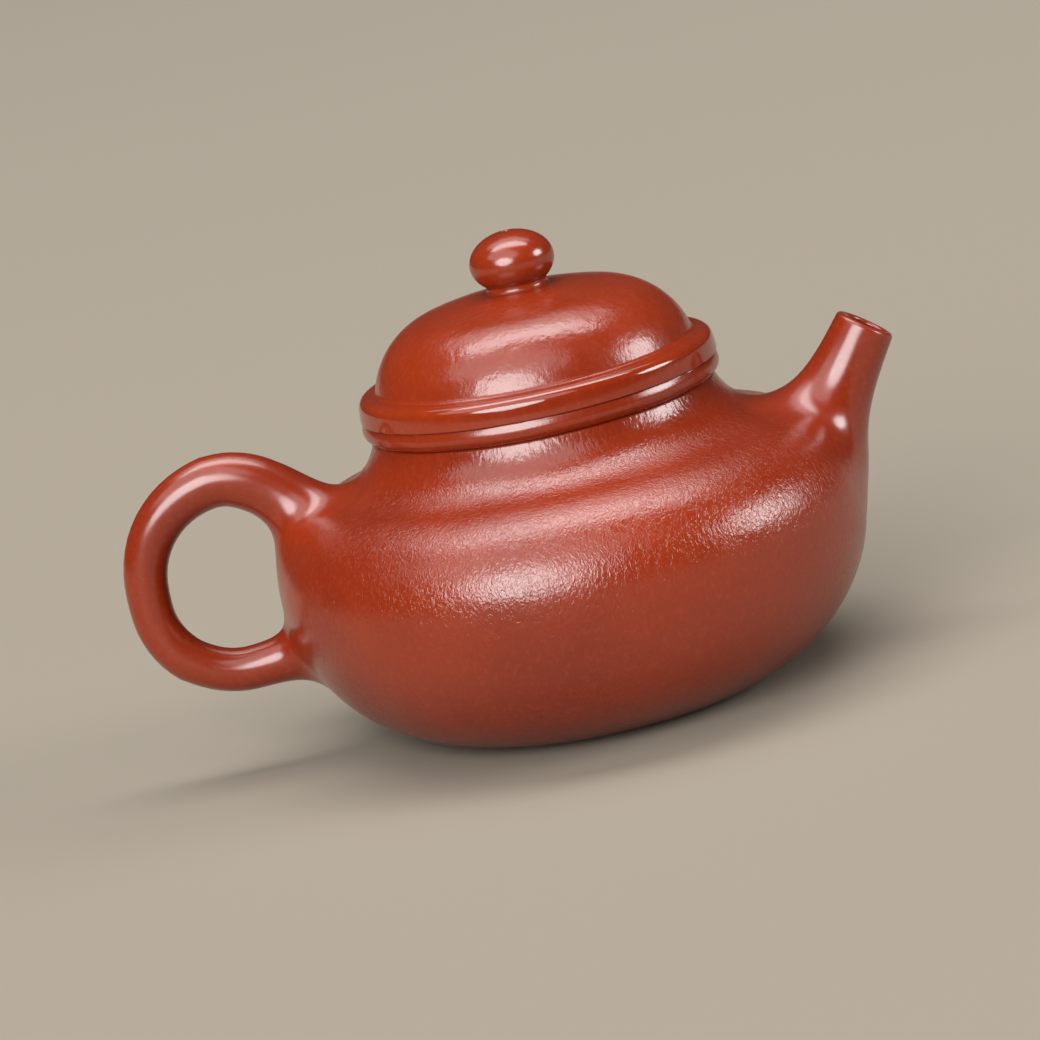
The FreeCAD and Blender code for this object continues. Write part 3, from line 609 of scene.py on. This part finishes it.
def way_out(rise):
    """The direction across and up of a face that looks out, and up by an angle."""
    return Vector((math.cos(rise), math.sin(rise)))


def on_bulge(hub, bulge_round, height):
    """Where a bulge passes a height."""
    return hub.x + math.sqrt(bulge_round ** 2 - (height - hub.y) ** 2), height


face_low_height = SEAM - RIM_FACE * (math.sin(RIM_FACE_TOP) - math.sin(RIM_FACE_LOW))
tuck_hub = Vector((BEAD - RIM_TUCK, face_low_height - RIM_TUCK * math.sin(RIM_FACE_LOW)))
face_hub = tuck_hub + (RIM_TUCK - RIM_FACE) * way_out(RIM_FACE_LOW)
pen = Outline("mouth_rim", MOUTH, NECK_TOP)
pen.line(*on_bulge(tuck_hub, RIM_TUCK, NECK_TOP))
pen.arc(*(tuck_hub + RIM_TUCK * way_out(RIM_FACE_LOW)), tuck_hub)
pen.arc(*(face_hub + RIM_FACE * way_out(RIM_FACE_TOP)), face_hub)
pen.line(MOUTH, SEAM)
pen.line(MOUTH, NECK_TOP)
mouth_rim = pen.turn()
round_edges(mouth_rim, RIM_EDGE)
finish(mouth_rim, handled_clay, "burnished_clay", "pot", "mouth_rim")

# %% [markdown]
# The flange is a band that leans in a little, with a round upper edge and a sloping top. The collar under it
# is a plain ring that goes down into the mouth and keeps the lid there.

# %% Lid flange and collar
FLANGE_TOP = 53.3
COLLAR = 22.9
COLLAR_INSIDE = 20.7
COLLAR_LOW = 42.3
BAND_LEAN_LOW, BAND_LEAN_HIGH = math.radians(3), math.radians(8)
BAND_EDGE, BAND_EDGE_HEIGHT = 1.6, 51.95
BAND_SLOPE = math.radians(19)
BAND_REACH = 25.3
BAND_CORNER, COLLAR_CORNER = 0.22, 0.6

band_round = (BAND_EDGE_HEIGHT - SEAM) / (math.sin(BAND_LEAN_HIGH) - math.sin(BAND_LEAN_LOW))
band_hub = Vector((BEAD, SEAM)) - band_round * way_out(BAND_LEAN_LOW)
band_top = band_hub + band_round * way_out(BAND_LEAN_HIGH)
edge_hub = band_top - BAND_EDGE * way_out(BAND_LEAN_HIGH)
edge_end = edge_hub + BAND_EDGE * way_out(math.pi / 2 - BAND_SLOPE)
pen = Outline("lid_flange", COLLAR_INSIDE, SEAM)
pen.line(BEAD, SEAM)
pen.arc(*band_top, band_hub)
pen.arc(*edge_end, edge_hub)
pen.line(BAND_REACH, edge_end.y + (edge_end.x - BAND_REACH) * math.tan(BAND_SLOPE))
pen.line(COLLAR_INSIDE, FLANGE_TOP)
pen.line(COLLAR_INSIDE, SEAM)
lid_flange = pen.turn()
round_edges(lid_flange, BAND_CORNER)
finish(lid_flange, burnished_clay, "burnished_clay", "lid", "lid_flange")

pen = Outline("lid_collar", COLLAR_INSIDE, COLLAR_LOW)
pen.line(COLLAR, COLLAR_LOW)
pen.line(COLLAR, SEAM)
pen.line(COLLAR_INSIDE, SEAM)
pen.line(COLLAR_INSIDE, COLLAR_LOW)
lid_collar = pen.turn()
round_edges(lid_collar, COLLAR_CORNER)
finish(lid_collar, plain_clay, "plain_clay", "lid", "lid_collar")

# %% [markdown]
# The dome is a small hollow moulding, a steep side and a flat crown, each tangent to the next. It is a shell:
# its outline goes up outside, in at the air hole and back down inside.

# %% Lid dome
CROWN = 65.0
CROWN_ROUND = 62.5
DOME_HUB = Vector((11.96, 50.613))
DOME_ROUND = 12.923
COVE = 1.2
DOME_BED = 0.3
LID_WALL = 2.4
VENT = 0.8
DOME_BEATEN_SIZE = 18

crown_hub = Vector((0, CROWN - CROWN_ROUND))
cove_rise = COVE + FLANGE_TOP - DOME_HUB.y
cove_hub = Vector((DOME_HUB.x + math.sqrt((DOME_ROUND + COVE) ** 2 - cove_rise ** 2), FLANGE_TOP + COVE))
cove_top = DOME_HUB + (cove_hub - DOME_HUB) * DOME_ROUND / (DOME_ROUND + COVE)
crown_way = (DOME_HUB - crown_hub).normalized()
inside_foot = DOME_HUB.x + math.sqrt((DOME_ROUND - LID_WALL) ** 2 - (FLANGE_TOP - DOME_HUB.y) ** 2)


def on_crown(round_mm, radius):
    """Where the crown's arc passes a radius."""
    return radius, crown_hub.y + math.sqrt(round_mm ** 2 - radius ** 2)


pen = Outline("lid_dome", inside_foot, FLANGE_TOP - DOME_BED)
pen.line(cove_hub.x, FLANGE_TOP - DOME_BED)
pen.line(cove_hub.x, FLANGE_TOP)
pen.arc(*cove_top, cove_hub)
pen.arc(*(crown_hub + CROWN_ROUND * crown_way), DOME_HUB)
pen.arc(*on_crown(CROWN_ROUND, VENT), crown_hub)
pen.line(*on_crown(CROWN_ROUND - LID_WALL, VENT))
pen.arc(*(crown_hub + (CROWN_ROUND - LID_WALL) * crown_way), crown_hub)
pen.arc(inside_foot, FLANGE_TOP, DOME_HUB)
pen.line(inside_foot, FLANGE_TOP - DOME_BED)
lid_dome = pen.turn()
beat(lid_dome, DOME_BEATEN_SIZE, BEATEN_DEPTH)
finish(lid_dome, lid_skin_clay, "pear_skin_clay", "lid", "lid_dome")
leave_inside_matt(lid_dome, DOME_HUB.y)

# %% [markdown]
# The knob is a ball of clay pressed a little flat and luted to the crown with a small fillet. A circle is
# drawn, widened into an ellipse with a scale, and spun. The air hole runs through it into the lid.

# %% Lid knob
KNOB = 6.5
KNOB_HALF_HEIGHT = 4.65
KNOB_CENTRE = 69.05
KNOB_FOOT = 4.7
KNOB_FILLET = 0.7
KNOB_BED = 0.1
KNOB_SINK = 0.6
KNOB_EDGE = 0.2

widen = KNOB / KNOB_HALF_HEIGHT


def on_ball(radius, side):
    """A point of the ball before it is widened. Side is 1 above its middle and -1 below it."""
    narrow = radius / widen
    return narrow, KNOB_CENTRE + side * math.sqrt(KNOB_HALF_HEIGHT ** 2 - narrow ** 2)


ball_foot = Vector(on_ball(KNOB_FOOT, -1))
pen = Outline("lid_knob", *on_ball(VENT, 1))
pen.arc(*on_ball(KNOB, 1), (0, KNOB_CENTRE))
pen.arc(*ball_foot, (0, KNOB_CENTRE))
pen.widen(widen)
fillet_foot = Vector(on_crown(CROWN_ROUND, KNOB_FOOT + KNOB_FILLET)) - Vector((0, KNOB_BED))
fillet_drop = ball_foot.y - fillet_foot.y
fillet_round = (KNOB_FILLET ** 2 + fillet_drop ** 2) / (2 * fillet_drop)
pen.arc(*fillet_foot, fillet_foot + Vector((0, fillet_round)))
pen.line(fillet_foot.x, fillet_foot.y - KNOB_SINK)
pen.line(VENT, fillet_foot.y - KNOB_SINK)
pen.line(VENT, on_ball(VENT, 1)[1])
lid_knob = pen.turn()
round_edges(lid_knob, KNOB_EDGE)
finish(lid_knob, handled_clay, "burnished_clay", "lid", "lid_knob")

# %% [markdown]
# ## Rolled clay
# Spout and handle start as rolls. A roll is grown ring by ring: each ring is extruded from the last one,
# moved, turned and scaled. Where a roll meets the pot, its last rings are laid on the belly with a
# shrinkwrap.
# A plain bridge from roll to belly leaves a fold. So the rings between them start on curves, and then settle
# where the gaps to the roll and to the pot melt into one soft hollow, which is the joint that a wet finger
# makes.

# %% A roll of clay
ROUND = 96


def between(keys, at):
    """A smooth value between keyed ones, each key a place and a value."""
    k = max(1, min(len(keys) - 1, sum(place <= at for place, value in keys)))
    (start, low), (end, high) = keys[k - 1], keys[k]
    before = keys[max(0, k - 2)]
    after = keys[min(len(keys) - 1, k + 1)]
    rise_start = (high - before[1]) / (end - before[0])
    rise_end = (after[1] - low) / (after[0] - start)
    t = (at - start) / (end - start)
    span = end - start
    return (low * (1 + 2 * t) * (1 - t) ** 2 + high * t * t * (3 - 2 * t)
            + span * rise_start * t * (1 - t) ** 2 - span * rise_end * t * t * (1 - t))


def ring_across(outer, inner, side):
    """A ring from its two edges in the plane of spout and handle, and its half width to the sides.

    It is kept as its centre, the lean of its axis from upright towards +X, its radius and its half width."""
    chord = Vector(outer) - Vector(inner)
    centre = (Vector(outer) + Vector(inner)) / 2
    return centre.x, centre.y, math.atan2(chord.y, -chord.x), chord.length / 2, side


def grow_roll(name, rings):
    """A tube grown ring by ring, in millimetres. Each ring has its own stretch of the tube's vertices."""
    across, up, lean, radius, side = rings[0]
    bpy.ops.object.select_all(action='DESELECT')
    bpy.ops.mesh.primitive_circle_add(
        vertices=ROUND,
        radius=radius * MM,
        location=(across * MM, 0, up * MM),
        rotation=(0, lean, 0),
    )
    piece = bpy.context.object
    piece.name = name
    piece.data.name = name
    bpy.ops.object.transform_apply(location=True, rotation=True, scale=False)
    bpy.ops.object.mode_set(mode='EDIT')
    bpy.ops.mesh.select_all(action='SELECT')
    bpy.ops.transform.resize(value=(1, side / radius, 1), center_override=(0, 0, 0))
    for ring in rings[1:]:
        step = ((ring[0] - across) * MM, 0, (ring[1] - up) * MM)
        turn = lean - ring[2]
        share = ring[3] / radius
        side_share = ring[4] / side
        across, up, lean, radius, side = ring
        centre = (across * MM, 0, up * MM)
        bpy.ops.mesh.extrude_edges_move(TRANSFORM_OT_translate={"value": step})
        bpy.ops.transform.rotate(value=turn, orient_axis='Y', center_override=centre)
        bpy.ops.transform.resize(value=(share, side_share, share), center_override=centre)
    bpy.ops.object.mode_set(mode='OBJECT')
    print(name, "is a roll of", len(rings), "rings")
    return piece


# %% How clay melts together
MELT_TRIES = 8
TOUCH = 0.02
turn_angle = math.atan2(turn_way.y, turn_way.x)


def pot_gap(spot):
    """How far a place is outside the pot's skin. Gaps and places are in millimetres."""
    place = Vector((math.hypot(spot.x, spot.y), spot.z))
    beside = place - shoulder_hub
    if beside.y < 0:
        return (place - belly_hub).length - belly_round
    if math.atan2(beside.y, beside.x) < turn_angle:
        return beside.length - SHOULDER_ROUND
    return neck_round - (place - neck_hub).length


def melted(roll_gap, reach):
    """The gap to a roll and the pot as one shape, with a soft hollow where both are about as near."""
    def gap(spot):
        roll = roll_gap(spot)
        pot = pot_gap(spot)
        near = max(reach - abs(roll - pot), 0) / reach
        return min(roll, pot) - near ** 3 * reach / 6
    return gap


def growth(gap, spot):
    """How fast a gap grows along each axis."""
    steps = (Vector((TOUCH, 0, 0)), Vector((0, TOUCH, 0)), Vector((0, 0, TOUCH)))
    return Vector([(gap(spot + step) - gap(spot - step)) / (2 * TOUCH) for step in steps])


def settle(piece, ring, gap, level, share):
    """The vertices of a ring go a share of the way to the nearest place where a gap has one level."""
    for vertex in piece.data.vertices[ring * ROUND:(ring + 1) * ROUND]:
        spot = vertex.co / MM
        for attempt in range(MELT_TRIES):
            way = growth(gap, spot)
            spot -= way * ((gap(spot) - level) / way.length_squared)
        vertex.co = vertex.co.lerp(spot * MM, share)


print("the neck begins", round(math.degrees(turn_angle), 1), "degrees up the shoulder")

# %% A soft joint on the belly
SOFT_RINGS = 28
CURVE_SHARE = 0.40
LANDING_EDGE = 1.05
LANDING_SINK, EDGE_SINK = 0.08, 0.30
IN_WALL = 1.1
SETTLE_EARLY = 2
EASE_RINGS, EASE_SHARE, EASE_TIMES = 6, 0.5, 10

pen = Outline("pot_skin", FOOT, 0)
draw_outside(pen)
pot_skin = pen.turn()


def joint_rings(end, landing, closing):
    """The rings from a roll's end to the belly: soft ones, the landing, its edge, and those in the wall."""
    for step in range(1, SOFT_RINGS + 1):
        share = step / (SOFT_RINGS + 1)
        yield [first + (last - first) * share for first, last in zip(end, landing)]
    across, up, lean, radius, side = landing
    for share in (1, LANDING_EDGE, *closing):
        yield across, up, lean, radius * share, side * share


def lay(piece, ring, above_mm):
    """A ring of a piece is laid on the pot's skin, or so far above it."""
    group = piece.vertex_groups.new(name="laid")
    group.add(range(ring * ROUND, (ring + 1) * ROUND), 1, 'REPLACE')
    activate(piece)
    wrap = piece.modifiers.new("lay", 'SHRINKWRAP')
    wrap.target = pot_skin
    wrap.wrap_method = 'NEAREST_SURFACEPOINT'
    wrap.wrap_mode = 'ABOVE_SURFACE'
    wrap.offset = above_mm * MM
    wrap.vertex_group = group.name
    bpy.ops.object.modifier_apply(modifier=wrap.name)
    piece.vertex_groups.clear()


def soften(piece, end, way, closing, roll_gap, reach):
    """A joint of a roll: its landing is laid on the belly, and the rings before it melt into roll and pot.

    End is the roll's last free ring, and way is 1 or -1, as the rings count towards the belly or from it."""
    landing = end + way * (SOFT_RINGS + 1)
    lay(piece, landing, -LANDING_SINK)
    lay(piece, landing + way, -EDGE_SINK)
    for k in range(len(closing)):
        lay(piece, landing + way * (2 + k), -IN_WALL)
    spots = piece.data.vertices
    middle = sum((spot.co for spot in spots[landing * ROUND:(landing + 1) * ROUND]), Vector()) / ROUND
    for k in range(ROUND):
        start = spots[end * ROUND + k].co.copy()
        stop = spots[landing * ROUND + k].co.copy()
        leave = (start - spots[(end - way) * ROUND + k].co).normalized()
        arrive = (stop - middle).normalized()
        pull = (stop - start).length * CURVE_SHARE
        curve = interpolate_bezier(
            start,
            start + leave * pull,
            stop - arrive * pull,
            stop,
            SOFT_RINGS + 2,
        )
        for step in range(1, SOFT_RINGS + 1):
            spots[(end + way * step) * ROUND + k].co = curve[step]
    gap = melted(roll_gap, reach)
    for step in range(-SETTLE_EARLY, SOFT_RINGS + 1):
        down = max(step, 0) / (SOFT_RINGS + 1)
        share = min(1, (step + SETTLE_EARLY + 1) / (SETTLE_EARLY + 2))
        settle(piece, end + way * step, gap, -LANDING_SINK * down * down, share)
    print(piece.name, "joint runs over", SOFT_RINGS, "rings")


def select_rings(piece, *rings):
    """Edit mode, with the edges of some rings selected."""
    activate(piece)
    bpy.ops.object.mode_set(mode='EDIT')
    bpy.ops.mesh.select_mode(type='VERT')
    bpy.ops.mesh.select_all(action='DESELECT')
    bpy.ops.object.mode_set(mode='OBJECT')
    for ring in rings:
        for vertex in piece.data.vertices[ring * ROUND:(ring + 1) * ROUND]:
            vertex.select = True
    bpy.ops.object.mode_set(mode='EDIT')
    bpy.ops.mesh.select_mode(type='EDGE')


def ease(piece, ring):
    """The rings around one ring are smoothed, so that no turn shows there."""
    select_rings(piece, *range(ring - EASE_RINGS, ring + EASE_RINGS + 1))
    bpy.ops.mesh.vertices_smooth(factor=EASE_SHARE, repeat=EASE_TIMES)
    bpy.ops.object.mode_set(mode='OBJECT')


def face_outwards(piece):
    """All faces of a finished piece look outwards."""
    activate(piece)
    bpy.ops.object.mode_set(mode='EDIT')
    bpy.ops.mesh.select_all(action='SELECT')
    bpy.ops.mesh.normals_make_consistent(inside=False)
    bpy.ops.object.mode_set(mode='OBJECT')


print("joints sink", LANDING_SINK, "mm at their edge")

# %% [markdown]
# ## Spout
# A short cone with a thick lip. Its rings run up the bore, over the lip and down the outside, where they
# widen like a trumpet: a wide curve on the upper side, and nearly straight down into the belly on the lower
# one.

# %% Spout
SPOUT_LENGTH = 16.0
SPOUT_TIP, SPOUT_TAPER, SPOUT_LIFT = 4.58, 0.085, 0.2
SPOUT_FREE, SPOUT_STEPS = 6.0, 10
SPOUT_BORE = ((17.6, 6.6), (13.5, 5.7), (7.4, 3.6), (0, 2.95))
SPOUT_BURIED = 2.0
SPOUT_REACH = 13.0
SPOUT_LANDING = ring_across((27.6, 43.8), (44.1, 17.6), 14.5)
SPOUT_CLOSE = (0.98, 0.78, 0.58)
LIP_ROUND, LIP_STEPS = 0.7, 4

spout_up = Vector((-SPOUT_WAY.z, 0, SPOUT_WAY.x))
spout_mouth = SPOUT_SEAT + SPOUT_WAY * SPOUT_LENGTH + spout_up * SPOUT_LIFT


def spout_ring(back, radius):
    """A ring of the spout, some way behind its mouth."""
    centre = spout_mouth - SPOUT_WAY * back
    return centre.x, centre.z, SPOUT_LEAN, radius, radius


def spout_gap(spot):
    """How far a place is outside the plain cone of the spout, which ends a little way in the wall."""
    back = min((spout_mouth - spot).dot(SPOUT_WAY), SPOUT_LENGTH + SPOUT_BURIED)
    return (spot - spout_mouth + SPOUT_WAY * back).length - SPOUT_TIP - SPOUT_TAPER * back


rings = [spout_ring(back, bore) for back, bore in SPOUT_BORE]
for step in range(SPOUT_STEPS + 1):
    back = SPOUT_FREE * step / SPOUT_STEPS
    rings.append(spout_ring(back, SPOUT_TIP + SPOUT_TAPER * back))
spout_end = len(rings) - 1
rings.extend(joint_rings(rings[-1], SPOUT_LANDING, SPOUT_CLOSE))
spout = grow_roll("spout", rings)
soften(spout, spout_end, 1, SPOUT_CLOSE, spout_gap, SPOUT_REACH)
ease(spout, spout_end)
select_rings(spout, 0, len(rings) - 1)
bpy.ops.mesh.bridge_edge_loops()
bpy.ops.object.mode_set(mode='OBJECT')
face_outwards(spout)
round_edges(spout, LIP_ROUND, LIP_STEPS)
beat(spout, BEATEN_SIZE, BEATEN_DEPTH)
finish(spout, pear_skin_clay, "burnished_clay", "pot", "spout")

# %% [markdown]
# ## Handle
# A solid roll bent into an ear. Its centre line is a chain of round bends, each tangent to the next, and it
# grows stouter on its way up to the shoulder. Its lower end goes straight into the belly, and its upper end
# comes down on the shoulder in a wide last bend.

# %% The bends of the handle
LOWER_HUB, LOWER_BEND = Vector((-52.7, 28.3)), 12.4
UPPER_HUB = Vector((-50.1, 30.8))
UPPER_BENDS = ((15.0, 82.6), (8.14, 109.1), (17.0, 116.0))
ROLL_RADII = ((0, 3.34), (10, 3.4), (21, 3.3), (34, 3.7), (43, 4.0), (49.4, 4.23))
BEND_STEP = 6
LOWER_START, UPPER_START = -90, 0


def outer_side(lean):
    """The direction to the outer side of the ear, where its roll leans by some degrees."""
    return Vector((-math.cos(math.radians(lean)), math.sin(math.radians(lean))))


def handle_bends():
    """Each bend from the lower end up: its hub, its radius, and how the roll leans at its start and end."""
    yield LOWER_HUB, LOWER_BEND, LOWER_START, UPPER_START
    hub, start, last = UPPER_HUB, UPPER_START, UPPER_BENDS[0][0]
    for bend, end in UPPER_BENDS:
        hub = hub + (last - bend) * outer_side(start)
        yield hub, bend, start, end
        start, last = end, bend


def handle_rings():
    """All free rings of the roll, from the lower end up. A bend that runs on shares the ring it starts at."""
    length = 0
    place = LOWER_HUB + LOWER_BEND * outer_side(LOWER_START)
    for hub, bend, start, end in handle_bends():
        steps = math.ceil((end - start) / BEND_STEP)
        for step in range(steps + 1):
            lean = start + (end - start) * step / steps
            next_place = hub + bend * outer_side(lean)
            length += (next_place - place).length
            place = next_place
            if step or start in (LOWER_START, UPPER_START):
                radius = between(ROLL_RADII, min(length, ROLL_RADII[-1][0]))
                yield place.x, place.y, math.radians(lean), radius, radius


bends = list(handle_bends())
free_rings = list(handle_rings())
print("handle has", len(bends), "bends and", len(free_rings), "free rings")

# %% The ends of the handle
FOOT_WAY = Vector((1, 0, 0.05)).normalized()
FOOT_LENGTH, FOOT_ROLL, FOOT_REACH = 10.7, ROLL_RADII[0][1], 8.0
FOOT_LANDING = ring_across((-38.6, 8.0), (-45.3, 25.5), 8.6)
HEAD_END, HEAD_ROLL, HEAD_REACH = 158, ROLL_RADII[-1][1], 11.7
HEAD_LANDING = ring_across((-27.5, 44.0), (-45.2, 23.6), 12.5)
CLOSE = (0.95, 0.6, 0.25)

head_hub, head_bend = bends[-1][:2]
foot_place = Vector((LOWER_HUB.x, 0, LOWER_HUB.y - LOWER_BEND))


def foot_gap(spot):
    """How far a place is outside the straight lower end of the roll."""
    along = min((spot - foot_place).dot(FOOT_WAY), FOOT_LENGTH)
    return (spot - foot_place - FOOT_WAY * along).length - FOOT_ROLL


def head_gap(spot):
    """How far a place is outside the last bend of the roll, which ends a little way in the wall."""
    beside = Vector((spot.x, spot.z)) - head_hub
    lean = math.degrees(math.atan2(beside.y, -beside.x)) % 360
    nearest = head_hub + head_bend * outer_side(min(lean, HEAD_END))
    return (spot - Vector((nearest.x, 0, nearest.y))).length - HEAD_ROLL


print("the handle's last bend has a radius of", head_bend, "mm")

# %% Handle
ROLL_EASE_TIMES = 4

foot_joint = list(joint_rings(free_rings[0], FOOT_LANDING, CLOSE))
head_joint = list(joint_rings(free_rings[-1], HEAD_LANDING, CLOSE))
handle = grow_roll("handle", [*reversed(foot_joint), *free_rings, *head_joint])
foot_end = len(foot_joint)
head_end = foot_end + len(free_rings) - 1
select_rings(handle, *range(foot_end + 1, head_end))
bpy.ops.mesh.vertices_smooth(factor=EASE_SHARE, repeat=ROLL_EASE_TIMES)
bpy.ops.object.mode_set(mode='OBJECT')
soften(handle, foot_end, -1, CLOSE, foot_gap, FOOT_REACH)
soften(handle, head_end, 1, CLOSE, head_gap, HEAD_REACH)
ease(handle, foot_end)
ease(handle, head_end)
last_ring = head_end + len(head_joint)
for ring in (last_ring, 0):
    select_rings(handle, ring)
    bpy.ops.mesh.merge(type='CENTER')
    bpy.ops.object.mode_set(mode='OBJECT')
face_outwards(handle)
beat(handle, BEATEN_SIZE, BEATEN_DEPTH)
finish(handle, pear_skin_clay, "burnished_clay", "pot", "handle")
activate(pot_skin)
bpy.ops.object.delete()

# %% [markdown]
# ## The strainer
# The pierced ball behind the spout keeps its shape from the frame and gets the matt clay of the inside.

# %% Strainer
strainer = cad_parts["spout_strainer"]
for material_slot in strainer.material_slots:
    material_slot.material = plain_clay
print("strainer has", len(strainer.data.polygons), "faces")
